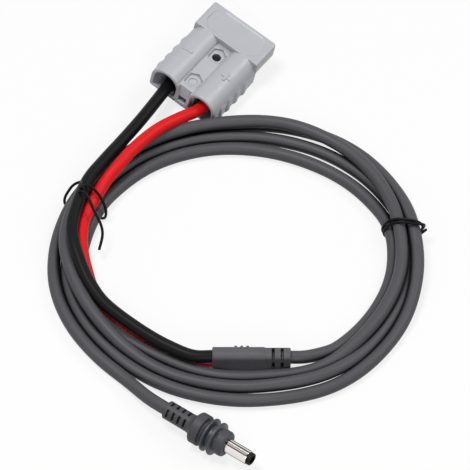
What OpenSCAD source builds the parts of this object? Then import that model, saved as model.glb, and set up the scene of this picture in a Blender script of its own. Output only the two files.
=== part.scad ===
// Coiled power cable: a two-pole connector, two wires, a splitter, a round cable and a barrel plug.
// Millimetres. The connector lies at the origin, +Y out of its mating face, +Z up from the floor.

/* [Connector housing] */
// Distance between the two pole axes
pole_pitch = 20.5; // [19:0.1:24]
// Height of the hood and of the wire barrels
housing_h = 16; // [15:0.1:19]
// Length from the wire end to the mating face
housing_l = 48; // [46:0.5:56]
// Length of the flat hood
hood_l = 15.7; // [14:0.1:18]
// Height of the lower edge of the hood, which is open below
hood_low = 9.4; // [9:0.1:11]
// Depth of the mating cavity
cavity_l = 15; // [13:0.1:15.5]
// Thickness of the outer walls
wall = 1.8; // [1.6:0.1:2.1]
// Thickness of the bulkhead between the chambers and the cavity
bulkhead_l = 2; // [1.5:0.1:3]
// Thickness of the rib between the poles in the cavity
divider_w = 3; // [2:0.1:4]
// Rounding of the long edges
edge_r = 1.5; // [0.8:0.1:1.6]
// Rounding of the upright corners, except the left front one
corner_r = 2; // [1:0.1:2.5]
// Rounding of the left front corner
left_corner_r = 0.5; // [0.3:0.1:2]
// How far the right edge leans down from level, in degrees
lean = 11.5; // [0:0.5:12]

/* [Channel and fixing] */
// Height of the channel floor between the barrels
channel_h = 12.5; // [12:0.1:13]
// Distance across the flats of the nut pockets
nut_flats = 8.2; // [7:0.1:8.4]
// Depth of the nut pockets
nut_depth = 1.2; // [0.6:0.1:2]
// Side clearance of a nut pocket in the channel
nut_side = 0.1; // [0.1:0.05:0.3]
// Diameter of the fixing hole
screw_d = 4.2; // [3:0.1:4.4]
// Distance from the mating face to the fixing hole
screw_from_face = 22; // [21:0.1:23]
// Distance between the two nut pockets
nut_spacing = 18.5; // [14:0.1:19]
// Depth of the round mark in the blind pocket
blind_depth = 0.6; // [0.3:0.1:1]
// How far the web between the wire openings slopes in to its top edge
web_setback = 2; // [1:0.1:2.5]
// Width of the slot in the web
slot_w = 4; // [3:0.1:4.2]
// Height of the slot in the web
slot_h = 3.6; // [2:0.1:4.4]
// Reach of the slot past the top edge of the web
slot_depth = 2.5; // [1:0.1:3.5]

/* [Grip and marks] */
// Number of finger ribs on each side
rib_count = 4; // [2:1:4]
// Distance between finger ribs
rib_pitch = 6.5; // [5.5:0.1:7]
// Distance from the wire end to the first rib
rib_start = 6; // [4:0.1:7]
// Radius of a finger rib
rib_r = 2.4; // [1.5:0.1:2.6]
// How far a finger rib stands out
rib_out = 0.6; // [0.3:0.1:1]
// Length of a bar of the polarity marks
mark_size = 5; // [3:0.1:5.5]
// Width of a bar of the polarity marks
mark_line = 1.1; // [0.6:0.1:1.4]
// How far the polarity marks stand out
mark_out = 0.35; // [0.15:0.05:0.5]
// Inset of the panel on the hood
panel_inset = 3.2; // [2:0.1:4]
// Depth of the panel on the hood
panel_depth = 0.3; // [0.15:0.05:0.5]

/* [Contacts] */
// Width of a contact blade
blade_w = 9.4; // [8:0.1:10.5]
// Thickness of a contact blade
blade_t = 1.8; // [1.2:0.1:2]
// Distance from the mating face to the curl of a blade
blade_back = 4.5; // [4:0.1:6]
// Inner radius of the curl at the tip of a blade
curl_r = 0.6; // [0.4:0.1:0.8]
// Straight drop of the tip below the curl
tip_drop = 0.8; // [0.4:0.1:1]
// Outer radius of a crimp barrel
crimp_r = 3.4; // [3:0.1:3.8]
// Length of a crimp barrel
crimp_l = 11; // [9:0.1:12]
// Distance from the wire end to a crimp barrel
crimp_from_rear = 12; // [11:0.1:13]
// Width of the tongue under a blade
tongue_w = 11.8; // [11:0.1:12]
// Height of the tongue under a blade
tongue_h = 4.9; // [4.4:0.1:5]
// Gap between the tongue and the tip of a blade
tip_gap = 0.4; // [0.2:0.1:0.8]
// Width of a leaf spring
spring_w = 6; // [4:0.1:7]
// Thickness of a leaf spring
spring_t = 0.4; // [0.3:0.05:0.5]
// Distance from a leaf spring to each end of its tongue
spring_inset = 0.9; // [0.5:0.1:2]
// Gap around a blade in the bulkhead
window_gap = 0.6; // [0.3:0.1:0.9]

/* [Wires] */
// Diameter of the black and the red wire
wire_d = 5.8; // [5:0.1:6]
// Diameter of a bare conductor
conductor_d = 3.9; // [3:0.1:4.2]
// Length of bare conductor between a wire and its crimp barrel
bare_l = 2; // [1:0.1:3]
// Radial clearance of a conductor in its crimp barrel
crimp_clear = 0.05; // [0.02:0.01:0.1]

/* [Splitter] */
// Length of the splitter block
block_l = 23.5; // [21:0.1:25]
// Height of the splitter block
block_h = 12.8; // [12.6:0.1:14]
// Thickness of the splitter block
block_t = 7.4; // [7:0.1:7.6]
// Rounding of the splitter block
block_r = 3.2; // [2:0.1:3.4]
// Length of the splitter relief
relief_l = 11; // [9:0.1:12]
// How much smaller the relief is than the block
relief_step = 0.5; // [0.3:0.1:0.8]
// Depth of the relief slots
relief_slot = 1.1; // [0.6:0.1:1.2]
// Length of a relief slot
relief_gap = 1.5; // [1:0.1:2]
// Height of the relief slots in the sides
relief_tall = 6; // [4:0.1:6.5]
// Width of the relief slots in the top and the bottom
relief_wide = 3.6; // [2:0.1:4]
// How deep the wires and the cable sit in the splitter
seat_depth = 5; // [4:0.1:6]
// Radial clearance of a wire or the cable in a moulding
seat_clear = 0.05; // [0.03:0.01:0.1]
// Length of a splice sleeve
splice_l = 8; // [6:0.1:9]
// Diameter of a splice sleeve
splice_d = 5; // [4:0.1:5.4]
// How far a top rib of the splitter stands out
top_rib_out = 0.5; // [0.3:0.1:0.8]
// Length of a top rib of the splitter
top_rib_l = 1.1; // [0.8:0.1:1.6]
// Distance between the top ribs of the splitter
top_rib_pitch = 2.6; // [2.2:0.1:3]

/* [Cable and coil] */
// Diameter of the grey cable
cable_d = 6; // [5.6:0.1:6.2]
// Height of one row of turns
row_h = 6.1; // [5.8:0.1:6.1]
// Diameter of the wire ties
tie_d = 1.3; // [1:0.1:1.5]
// Depth of the gaps that the turns leave under a tie
tie_gap = 1.4; // [1.35:0.05:1.6]

/* [Plug] */
// Diameter of the plug barrel
barrel_d = 6.5; // [6:0.1:6.5]
// Diameter of the hole in the centre contact
pin_hole_d = 3; // [2.5:0.1:3.2]
// Length of the bare barrel sleeve
barrel_l = 11.3; // [9:0.1:12]
// Length of the dark tip
tip_l = 1.9; // [1:0.1:2.5]
// Wall of the barrel sleeve
barrel_wall = 0.4; // [0.3:0.05:0.5]
// Wall of the centre contact
centre_wall = 0.35; // [0.25:0.05:0.4]
// How much smaller the seated shank of the sleeve is, on its radius
shank_step = 0.3; // [0.25:0.05:0.4]
// How much smaller the dark tip is, on its radius
tip_step = 0.35; // [0.3:0.05:0.5]
// How much wider the hole through the dark tip is, on its radius
tip_hole_step = 0.45; // [0.4:0.05:0.6]
// How deep the sleeve sits in the plug moulding
sleeve_seat = 6; // [4:0.1:8]
// Length of the plug relief
plug_relief_l = 13.2; // [12:0.1:16]
// Diameter of the plug relief
plug_relief_d = 8.5; // [8:0.1:9.2]
// Length of a slot in the plug relief
plug_slot_l = 1.2; // [0.8:0.1:1.4]
// Depth of a slot in the plug relief
plug_slot_depth = 0.8; // [0.4:0.1:0.8]
// Diameter of the collar
collar_d = 14.6; // [13.5:0.1:14.8]
// Length of the collar
collar_l = 7.1; // [6:0.1:8]
// Length of the neck behind the seal
neck_l = 1; // [0.8:0.1:2]
// Diameter of the seal ribs
seal_d = 15.8; // [15:0.1:15.8]
// Diameter of the seal between its ribs
seal_root_d = 12.6; // [12.2:0.1:13]
// Length of the seal
seal_l = 7.2; // [6.8:0.1:8]
// Distance between the seal ribs
seal_rib_pitch = 3.7; // [3.5:0.1:4]
// Diameter of the core under the seal
core_d = 9.4; // [9:0.1:9.6]
// Diameter of the nose in front of the seal
nose_d = 11.6; // [11:0.1:12]
// Length of the nose
nose_l = 4.2; // [3:0.1:5]
// Radial clearance between plug pieces
plug_clear = 0.03; // [0.02:0.01:0.06]

/* [Hidden] */
$fn = 48;

light_grey = [0.72, 0.73, 0.75];
cable_grey = [0.33, 0.33, 0.35];
silver = [0.75, 0.74, 0.72];
copper = [0.72, 0.45, 0.28];
black = [0.09, 0.09, 0.1];
red = [0.8, 0.1, 0.12];

// Connector: pole height, half width and the ends of its zones along Y
eps = 0.02;
pole_h = housing_h / 2;
barrel_r = housing_h / 2;
half_w = pole_pitch / 2 + barrel_r;
chamber_r = barrel_r - wall;
front_y = housing_l / 2;
rear_y = -housing_l / 2;
hood_y = front_y - hood_l;
cavity_y = front_y - cavity_l;
chamber_y = cavity_y - bulkhead_l;
channel_w = nut_flats + 2 * nut_side;
screw_y = front_y - screw_from_face;
blind_y = screw_y - nut_spacing;
web_y = rear_y + web_setback;
slot_z = wall + slot_h / 2 + 0.7;
rib_low = 1.2;
rib_high = 9.5;
mark_y = -6.8;

// Contacts: the upper face of a blade lies in the mating plane at half height
blade_low = pole_h - blade_t;
blade_end = front_y - blade_back;
crimp_y = rear_y + crimp_from_rear;
crimp_end = crimp_y + crimp_l;
crimp_h = pole_h - blade_t / 2;
crimp_bore_r = conductor_d / 2 + crimp_clear;
crimp_bore_l = crimp_l - 1.5;
blade_wide = crimp_end + 4;
tongue_end = blade_end + curl_r - tip_gap;
tongue_start = crimp_end + 1;
tongue_low = wall + 0.4;
spring_gap = 0.04;
spring_rise = blade_low - tongue_h - spring_t - spring_gap;
spring_l = tongue_end - tongue_start - 2 * spring_inset;
spring_radius = (spring_l * spring_l / 4 + spring_rise * spring_rise) / (2 * spring_rise);
spring_mid = (tongue_start + tongue_end) / 2;

// The connector leans on its right edge, with the middle of its plan at the origin
seat_x = -(rib_low + housing_h - edge_r) / 2 * sin(lean)
    + ((half_w + rib_out) - (half_w - edge_r) - edge_r / cos(lean)) / 2 * cos(lean);
seat_z = (half_w - edge_r) * sin(lean) - edge_r * cos(lean) + edge_r;

// Wires: clearance holes in the splitter, ends in the connector and in the splitter
wire_end_y = crimp_y - bare_l;
splitter_at = [112, -124];
splitter_turn = 36;
splitter_l = block_l + relief_l;
wire_low = block_h / 2 - 3;
wire_high = block_h / 2 + 3;
cable_h = block_h / 2;

// Plug: the axis lies along X, and the seal rests on the floor
plug_at = [99.5, -169.5, seal_d / 2];
collar_x = plug_relief_l;
neck_x = collar_x + collar_l;
seal_x = neck_x + neck_l;
nose_x = seal_x + seal_l;
barrel_x = nose_x + nose_l;
barrel_end = barrel_x + barrel_l;
sleeve_x = barrel_x - sleeve_seat;
shank_r = barrel_d / 2 - shank_step;
bore_r = barrel_d / 2 - barrel_wall;
shank_bore_r = shank_r - barrel_wall;
bore_x = barrel_x + barrel_wall;
centre_r = pin_hole_d / 2 + centre_wall;
centre_front = barrel_end - 1;

// Coil: a flat ring of full turns, and single turns beside and on it
coil_at = [74, -82];
ring_in = 67.6;
ring_out = 80.9;
start_r = 64.3;
start_turn = -12;
end_r = 84.2;
end_turn = 248;
// Radius, height, first and last angle of each single turn
single_turns = [
    [start_r, row_h / 2, start_turn, 188], [67.2, row_h / 2, 184, 324], [83, row_h / 2, -24, 106],
    [end_r, row_h / 2, 176, end_turn], [76.5, 8.3, 20, 76]
];
// Inner and outer radius, first and last angle of the fillings between turns
fillings = [
    [start_r, ring_in + 2, start_turn + 6, 187], [ring_out - 2, end_r, 177, end_turn - 6]
];
left_tie_turn = 192;
right_tie_turn = 50;

black_route = [
    [-9.3, -35, 12.2], [-8, -47, 11], [-7.5, -61, 9.9], [-6.5, -75, 9.3], [-3.5, -91, 9.3],
    [1, -106, 9.3], [8.5, -119, 9.3], [18.5, -130, 9.3], [30.5, -137.5, 9.3], [43.5, -141.5, 9.3],
    [57, -143, 9.2], [71, -143.2, 9.2], [84.5, -141, 9.3]
];
red_route = [
    [8, -35, 9.4], [3.5, -46, 9.4], [1, -59, 9.3], [0.5, -73, 9.3], [2.3, -88, 9.3],
    [6.5, -102.5, 9.3], [14, -115, 9.3], [24, -125.5, 9.1], [34.5, -131.5, 8.3], [46, -136, 5.4],
    [58.5, -140.3, 3.4], [72, -142.2, 3.2], [85, -140.8, 3.3]
];
start_route = [
    [130.4, -110.2, 5.6], [134.2, -103.8, 4]
];
end_route = [
    [57, -164.8, 3.1], [71, -168.2, 4.6], [85, -169.4, 6.8]
];

// Ties: radius from the middle of the coil, height, and step along the bundle
left_loop = [
    [91.5, 7, -6], [91, 4, -5], [89.4, 1.6, -3.4], [87, 0.7, -2.4], [75, 0.7, -1.8], [64, 0.7, -1.2],
    [62.8, 1.4, -1], [63, 4.5, -0.7], [65.6, 9, -0.3], [69.2, 12.9, 0.1], [75, 13.2, 0.4],
    [80.7, 12.7, 0.7], [85.3, 9, 1], [88.5, 4.5, 1.3], [87.4, 0.7, 1.5], [75, 0.7, 1.5],
    [64, 0.7, 1.5], [62.7, 1.6, 1.7], [62.2, 5, 2.4], [60, 7.5, 4.5], [57.5, 7, 9],
    [56, 4, 14], [56.3, 1.2, 20]
];
right_loop = [
    [57.8, 7, -4.6], [58.4, 3.6, -3.4], [59.8, 1.1, -2.4], [61.6, 0.7, -2], [72, 0.7, -1.5],
    [84, 0.7, -1.3], [87, 0.7, -1.2], [87.4, 4, -1.1], [84.6, 7.7, -1], [80.6, 10.9, -0.9],
    [76.5, 12.4, -0.8], [72.3, 11.1, -0.7], [64.3, 7.9, -0.5], [60.7, 5.4, -0.2], [60, 1.6, 0.2],
    [61.6, 0.7, 0.6], [72, 0.7, 0.9], [84, 0.7, 1.1], [87.1, 0.7, 1.2], [87.5, 4.2, 1.3],
    [84.7, 7.9, 1.4], [80.7, 11, 1.5], [76.5, 12.5, 1.5], [72.1, 11.3, 1.6], [67.5, 10, 2.8],
    [64.5, 10.6, 4.8]
];

function unit(v) = v / norm(v);

// A point of the level connector, moved to where it leans
function leaned(p) = [
    p[0] * cos(lean) + p[2] * sin(lean) + seat_x,
    p[1],
    -p[0] * sin(lean) + p[2] * cos(lean) + seat_z
];

// A point of the splitter, measured from its middle, in the frame of the part
function in_splitter(p) = [
    splitter_at[0] + p[0] * cos(splitter_turn) - p[1] * sin(splitter_turn),
    splitter_at[1] + p[0] * sin(splitter_turn) + p[1] * cos(splitter_turn),
    p[2]
];

// A point at a radius and an angle about the middle of the coil, stepped along the turn
function on_coil(r, turn, z, step = 0) = [
    coil_at[0] + r * cos(turn) - step * sin(turn),
    coil_at[1] + r * sin(turn) + step * cos(turn),
    z
];

// Direction of a route at one of its points
function heading(p, i) = unit(p[min(i + 1, len(p) - 1)] - p[max(i - 1, 0)]);

// Sideways direction of a ring, level wherever the route isn't upright
function across(t) = norm([t[0], t[1]]) < 0.05 ? [1, 0, 0] : unit(cross(t, [0, 0, 1]));

// One ring of points around a route
function ring(p, t, r, n) = [
    for (k = [0 : n - 1])
        p + r * cos(360 * k / n) * across(t) + r * sin(360 * k / n) * cross(across(t), t)
];

// Points of one pole's wire: two in the connector, the route, two in the splitter
function wire_points(side, route, z) = concat(
    [
        leaned([side * pole_pitch / 2, wire_end_y, crimp_h]),
        leaned([side * pole_pitch / 2, rear_y, crimp_h])
    ],
    route,
    [
        in_splitter([-splitter_l / 2, 0, z]),
        in_splitter([-splitter_l / 2 + seat_depth, 0, z])
    ]
);

// A tube with flat ends along a route
module tube(p, d, n = 10) {
    last = len(p) - 1;
    polyhedron(
        points = [for (i = [0 : last]) each ring(p[i], heading(p, i), d / 2, n)],
        faces = concat(
            [[for (k = [0 : n - 1]) k]],
            [for (i = [0 : last - 1]) for (k = [0 : n - 1])
                [i * n + k, (i + 1) * n + k, (i + 1) * n + (k + 1) % n, i * n + (k + 1) % n]],
            [[for (k = [n - 1 : -1 : 0]) last * n + k]]
        )
    );
}

// A tie wound about the coil at one angle
module tie(loop, turn) {
    tube([for (q = loop) on_coil(q[0], turn, q[1], q[2])], tie_d, 8);
}

// A rectangle about the origin with round corners
module round_rect(w, h, r) {
    square([w - 2 * r, h], center = true);
    square([w, h - 2 * r], center = true);
    for (x = [-1, 1])
        for (y = [-1, 1])
            translate([x * (w / 2 - r), y * (h / 2 - r)])
                circle(r);
}

// A section in X and Z, drawn out along Y
module along_y(y0, y1) {
    translate([0, y1, 0])
        rotate([90, 0, 0])
            linear_extrude(y1 - y0)
                children();
}

// A box between two corners
module box(a, b) {
    translate(a)
        cube(b - a);
}

// Children where the connector lies
module lean_connector() {
    translate([seat_x, 0, seat_z])
        rotate([0, lean, 0])
            children();
}

// Section of the two arched wire barrels on the bottom plate
module barrels_section() {
    translate([-pole_pitch / 2, 0])
        square([pole_pitch, wall]);
    for (side = [-1, 1])
        translate([side * pole_pitch / 2, 0]) {
            translate([0, pole_h])
                circle(barrel_r);
            translate([-barrel_r, edge_r])
                square([2 * barrel_r, pole_h - edge_r]);
            translate([edge_r - barrel_r, 0])
                square([2 * (barrel_r - edge_r), 2 * edge_r]);
            for (x = [-1, 1])
                translate([x * (barrel_r - edge_r), edge_r])
                    circle(edge_r);
        }
}

// Section of one wire chamber: round above, flat below
module chamber_section() {
    translate([0, pole_h])
        circle(chamber_r);
    translate([-chamber_r, wall])
        square([2 * chamber_r, pole_h - wall]);
}

// Hexagon pocket with a corner towards the mating face
module nut_pocket(y) {
    translate([0, y, channel_h - nut_depth])
        rotate([0, 0, 90])
            cylinder(d = nut_flats / cos(30), h = nut_depth + barrel_r, $fn = 6);
}

// Upright finger ribs on both sides
module finger_ribs() {
    for (side = [-1, 1])
        for (i = [0 : rib_count - 1])
            translate([side * (half_w + rib_out - rib_r), rear_y + rib_start + i * rib_pitch, 0]) {
                translate([0, 0, rib_low])
                    cylinder(r = rib_r, h = rib_high - rib_low);
                translate([0, 0, rib_high])
                    sphere(rib_r);
            }
}

// Web between the barrels, sloping up and in from the wire end
module web() {
    translate([-pole_pitch / 2, 0, 0])
        rotate([90, 0, 90])
            linear_extrude(pole_pitch)
                polygon([
                    [rear_y, 0], [rear_y, wall], [web_y, channel_h], [cavity_y, channel_h], [cavity_y, 0]
                ]);
}

// Section of the hood: the upper part of a rounded oblong
module hood_section() {
    intersection() {
        translate([0, pole_h])
            round_rect(2 * half_w, housing_h, edge_r);
        translate([-half_w, hood_low])
            square([2 * half_w, housing_h]);
    }
}

// Plan of the housing, with its left front corner nearly square
module housing_plan() {
    round_rect(2 * half_w, housing_l, corner_r);
    translate([-half_w / 2, front_y / 2])
        round_rect(half_w, front_y, left_corner_r);
}

// Hood, barrels and ribs before anything is cut
module housing_solid() {
    intersection() {
        union() {
            along_y(rear_y, cavity_y)
                barrels_section();
            web();
            along_y(hood_y, front_y)
                hood_section();
        }
        linear_extrude(housing_h + 1)
            housing_plan();
    }
    finger_ribs();
}

// Tongue of one pole, from its chamber to just behind the tip of its blade
module tongue(side) {
    x0 = side * pole_pitch / 2 - tongue_w / 2;
    x1 = side * pole_pitch / 2 + tongue_w / 2;
    box([x0, tongue_start, wall / 2], [x1, cavity_y - 0.5, tongue_h]);
    box([x0, cavity_y - 1, tongue_low], [x1, tongue_end, tongue_h]);
}

// Raised bars on the crest of one barrel: a cross on the right, one bar across on the left
module polarity_mark(side) {
    translate([side * pole_pitch / 2, mark_y, 0])
        intersection() {
            along_y(-mark_size, mark_size)
                translate([0, pole_h])
                    circle(barrel_r + mark_out);
            translate([side * 0.8, 0, housing_h]) {
                cube([mark_size, mark_line, 2 * wall - 0.4], center = true);
                if (side > 0)
                    cube([mark_line, mark_size, 2 * wall - 0.4], center = true);
            }
        }
}

// Two-pole housing with its chambers, cavity, channel and fixing hole
module connector_housing() {
    color(light_grey)
        lean_connector() {
            difference() {
                housing_solid();
                box([-channel_w / 2, rear_y - 1, channel_h], [channel_w / 2, hood_y, housing_h + 1]);
                for (side = [-1, 1])
                    translate([side * pole_pitch / 2, 0, 0]) {
                        along_y(rear_y - 1, chamber_y)
                            chamber_section();
                        box([-blade_w / 2 - window_gap, chamber_y - 1, tongue_h],
                            [blade_w / 2 + window_gap, cavity_y + 1, pole_h + window_gap]);
                    }
                along_y(cavity_y, front_y + 1)
                    translate([0, pole_h])
                        round_rect(2 * (half_w - wall), housing_h - 2 * wall, edge_r / 2);
                nut_pocket(screw_y);
                nut_pocket(blind_y);
                translate([0, screw_y, -1])
                    cylinder(d = screw_d, h = housing_h);
                translate([0, blind_y, channel_h - nut_depth - blind_depth])
                    cylinder(d = screw_d, h = nut_depth);
                box([-slot_w / 2, rear_y - 1, slot_z - slot_h / 2],
                    [slot_w / 2, web_y + slot_depth, slot_z + slot_h / 2]);
                translate([0, hood_y + hood_l / 2, housing_h - panel_depth])
                    linear_extrude(1)
                        round_rect(2 * (half_w - panel_inset), hood_l - panel_inset, 3);
            }
            box([-divider_w / 2, cavity_y - 1, hood_low], [divider_w / 2, front_y - 2, housing_h - wall / 2]);
            for (side = [-1, 1]) {
                tongue(side);
                polarity_mark(side);
            }
        }
}

// Flat contact with a crimp barrel behind and a curl down at its tip
module contact(side) {
    color(silver)
        lean_connector()
            translate([side * pole_pitch / 2, 0, 0])
                difference() {
                    union() {
                        along_y(crimp_y, crimp_end)
                            translate([0, crimp_h])
                                circle(crimp_r);
                        translate([0, 0, blade_low])
                            linear_extrude(blade_t)
                                polygon([
                                    [-crimp_r, crimp_end - 1], [crimp_r, crimp_end - 1],
                                    [blade_w / 2, blade_wide], [blade_w / 2, blade_end],
                                    [-blade_w / 2, blade_end], [-blade_w / 2, blade_wide]
                                ]);
                        translate([-blade_w / 2, blade_end, blade_low - curl_r])
                            rotate([90, 0, 90])
                                curl_section();
                        box([-blade_w / 2, blade_end + curl_r, blade_low - curl_r - tip_drop],
                            [blade_w / 2, blade_end + curl_r + blade_t, blade_low - curl_r + eps]);
                    }
                    along_y(crimp_y - 1, crimp_y + crimp_bore_l)
                        translate([0, crimp_h])
                            circle(crimp_bore_r);
                    translate([0, crimp_y + crimp_bore_l - 2, crimp_h])
                        cylinder(d = 1.6, h = crimp_r + 1);
                }
}

// Quarter round between the blade and its tip, drawn out across the blade
module curl_section() {
    linear_extrude(blade_w)
        intersection() {
            difference() {
                circle(curl_r + blade_t);
                circle(curl_r);
            }
            square(curl_r + blade_t);
        }
}

// Bowed leaf spring between a tongue and its blade
module leaf_spring(side) {
    color(silver)
        lean_connector()
            translate([side * pole_pitch / 2 - spring_w / 2, spring_mid, tongue_h])
                rotate([90, 0, 90])
                    linear_extrude(spring_w)
                        intersection() {
                            translate([0, spring_rise - spring_radius])
                                difference() {
                                    circle(spring_radius + spring_t, $fn = 180);
                                    circle(spring_radius, $fn = 180);
                                }
                            translate([-spring_l / 2, 0])
                                square([spring_l, spring_rise + 1]);
                        }
}

// Bare conductor from the end of a wire into its crimp barrel
module conductor(side) {
    color(copper)
        lean_connector()
            along_y(wire_end_y, crimp_y + crimp_bore_l - 0.5)
                translate([side * pole_pitch / 2, crimp_h])
                    circle(d = conductor_d);
}

module contact_negative() {
    contact(-1);
}

module contact_positive() {
    contact(1);
}

module spring_negative() {
    leaf_spring(-1);
}

module spring_positive() {
    leaf_spring(1);
}

module conductor_negative() {
    conductor(-1);
}

module conductor_positive() {
    conductor(1);
}

// Wire from the left pole to the upper seat of the splitter
module black_wire() {
    color(black)
        tube(wire_points(-1, black_route, wire_high), wire_d);
}

// Wire from the right pole to the lower seat of the splitter
module red_wire() {
    color(red)
        tube(wire_points(1, red_route, wire_low), wire_d);
}

// Children where the splitter stands, along its length
module stand_splitter() {
    translate([splitter_at[0], splitter_at[1], 0])
        rotate([0, 0, splitter_turn])
            children();
}

// A round seat along the splitter
module splitter_seat(x, l, z, d) {
    translate([x, 0, z])
        rotate([0, 90, 0])
            cylinder(d = d, h = l);
}

// A section of the splitter, standing on its edge
module splitter_bar(x, l, t, h, r) {
    translate([x, 0, block_h / 2])
        rotate([90, 0, 90])
            linear_extrude(l)
                round_rect(t, h, r);
}

// Three small ribs over the top edge of the splitter
module splitter_ribs(x) {
    for (i = [-1, 0, 1])
        translate([x + i * top_rib_pitch, 0, block_h / 2])
            rotate([90, 0, 90])
                linear_extrude(top_rib_l, center = true)
                    intersection() {
                        round_rect(block_t + 2 * top_rib_out, block_h + 2 * top_rib_out,
                            block_r + top_rib_out);
                        translate([-block_t, block_h / 2 - block_r / 2])
                            square([2 * block_t, block_r]);
                    }
}

// Splitter: block with two wire seats, top ribs and a slotted relief
module splitter() {
    x0 = -splitter_l / 2;
    relief_x = x0 + block_l;
    relief_t = block_t - 2 * relief_step;
    relief_h = block_h - 2 * relief_step;
    color(cable_grey)
        stand_splitter() {
            difference() {
                union() {
                    splitter_bar(x0, block_l, block_t, block_h, block_r);
                    splitter_bar(relief_x - 1, relief_l + 1, relief_t, relief_h, block_r - relief_step);
                    splitter_ribs(x0 + block_l * 0.55);
                }
                for (z = [wire_low, wire_high])
                    splitter_seat(x0 - 1, 1 + seat_depth + splice_l, z, wire_d + 2 * seat_clear);
                splitter_seat(relief_x + relief_l - seat_depth, seat_depth + 1, cable_h,
                    cable_d + 2 * seat_clear);
                for (i = [0, 1])
                    for (side = [-1, 1])
                        translate([relief_x + relief_l * (0.3 + 0.36 * i), 0, cable_h]) {
                            translate([0, side * relief_t / 2, 0])
                                cube([relief_gap, 2 * relief_slot, relief_tall], center = true);
                            translate([0, 0, side * relief_h / 2])
                                cube([relief_gap, relief_wide, 2 * relief_slot], center = true);
                        }
            }
        }
}

// Splice sleeve on the end of one wire in the splitter
module splice(z) {
    color(copper)
        stand_splitter()
            splitter_seat(-splitter_l / 2 + seat_depth + eps, splice_l - 2 * eps, z, splice_d);
}

module splice_negative() {
    splice(wire_high);
}

module splice_positive() {
    splice(wire_low);
}

// Start of the cable, from the splitter to the inner row of the coil
module cable_start() {
    p = concat(
        [in_splitter([splitter_l / 2 - seat_depth, 0, cable_h]), in_splitter([splitter_l / 2, 0, cable_h])],
        start_route,
        [on_coil(start_r, start_turn, row_h / 2, -2), on_coil(start_r, start_turn, row_h / 2)]
    );
    color(cable_grey)
        tube(p, cable_d);
}

// A section turned about the middle of the coil, between two angles
module coil_arc(from, to) {
    translate([coil_at[0], coil_at[1], 0])
        rotate([0, 0, from])
            rotate_extrude(angle = to - from, $fn = 96)
                children();
}

// Section of the flat ring of full turns, with round edges
module ring_section() {
    r = row_h / 2;
    translate([ring_in + r, 0])
        square([ring_out - ring_in - row_h, row_h]);
    for (x = [ring_in + r, ring_out - r])
        translate([x, r])
            circle(r, $fn = 24);
}

// Gap that the turns leave under a tie
module under_tie(turn) {
    translate([coil_at[0], coil_at[1], -1])
        rotate([0, 0, turn])
            translate([50, -4, 0])
                cube([50, 8, 1 + tie_gap]);
}

// Coil of the cable: all its turns as one solid, with one turn on top at the right tie
module cable_coil() {
    color(cable_grey)
        difference() {
            union() {
                coil_arc(0, 360)
                    ring_section();
                for (t = single_turns)
                    coil_arc(t[2], t[3])
                        translate([t[0], t[1]])
                            circle(row_h / 2, $fn = 24);
                for (f = fillings)
                    coil_arc(f[2], f[3])
                        translate([f[0], row_h / 4])
                            square([f[1] - f[0], row_h / 2]);
            }
            under_tie(left_tie_turn);
            under_tie(right_tie_turn);
        }
}

// End of the cable, from the outer row of the coil into the plug
module cable_end() {
    p = concat(
        [on_coil(end_r, end_turn, row_h / 2), on_coil(end_r, end_turn, row_h / 2, 2)],
        end_route,
        [plug_at, plug_at + [seat_depth, 0, 0]]
    );
    color(cable_grey)
        tube(p, cable_d);
}

// Children turned about the axis of the plug, with X along it
module plug_round() {
    translate(plug_at)
        rotate([90, 0, 90])
            rotate_extrude()
                rotate([0, 0, 90])
                    mirror([0, 1])
                        children();
}

// Plug moulding: slotted relief, collar, core and nose
module plug_moulding() {
    color(cable_grey)
        difference() {
            plug_round()
                difference() {
                    polygon([
                        [0, 0], [0, plug_relief_d / 2 - 0.4], [0.4, plug_relief_d / 2],
                        [collar_x, plug_relief_d / 2], [collar_x, collar_d / 2 - 1],
                        [collar_x + 1, collar_d / 2],
                        [neck_x - 1, collar_d / 2], [neck_x, collar_d / 2 - 1], [neck_x, nose_d / 2],
                        [seal_x, nose_d / 2], [seal_x, core_d / 2], [nose_x, core_d / 2],
                        [nose_x, nose_d / 2], [barrel_x - 0.6, nose_d / 2],
                        [barrel_x, nose_d / 2 - 0.6], [barrel_x, 0]
                    ]);
                    translate([-1, -1])
                        square([1 + seat_depth, 1 + cable_d / 2 + seat_clear]);
                    translate([sleeve_x, -1])
                        square([sleeve_seat + 1, 1 + shank_r + plug_clear]);
                }
            for (i = [0 : 3])
                for (turn = [0 : 90 : 270])
                    translate(plug_at + [plug_relief_l * (0.42 + 0.15 * i), 0, 0])
                        rotate([turn, 0, 0])
                            translate([0, plug_relief_d / 2, 0])
                                cube([plug_slot_l, 2 * plug_slot_depth, plug_relief_d], center = true);
        }
}

// Soft seal with two round ribs
module plug_seal() {
    rib = 1.5;
    color(black)
        plug_round()
            difference() {
                union() {
                    translate([seal_x + plug_clear, 0])
                        square([seal_l - 2 * plug_clear, seal_root_d / 2]);
                    for (i = [-1, 1])
                        translate([seal_x + seal_l / 2 + i * seal_rib_pitch / 2, seal_d / 2 - rib])
                            circle(rib);
                }
                translate([seal_x - 1, -1])
                    square([seal_l + 2, 1 + core_d / 2 + plug_clear]);
            }
}

// Plated sleeve of the barrel, with a smaller shank in the moulding
module plug_sleeve() {
    color(silver)
        plug_round()
            polygon([
                [sleeve_x + plug_clear, shank_bore_r], [sleeve_x + plug_clear, shank_r],
                [barrel_x + plug_clear, shank_r], [barrel_x + plug_clear, barrel_d / 2],
                [barrel_end, barrel_d / 2], [barrel_end, bore_r],
                [bore_x, bore_r], [bore_x, shank_bore_r]
            ]);
}

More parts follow.
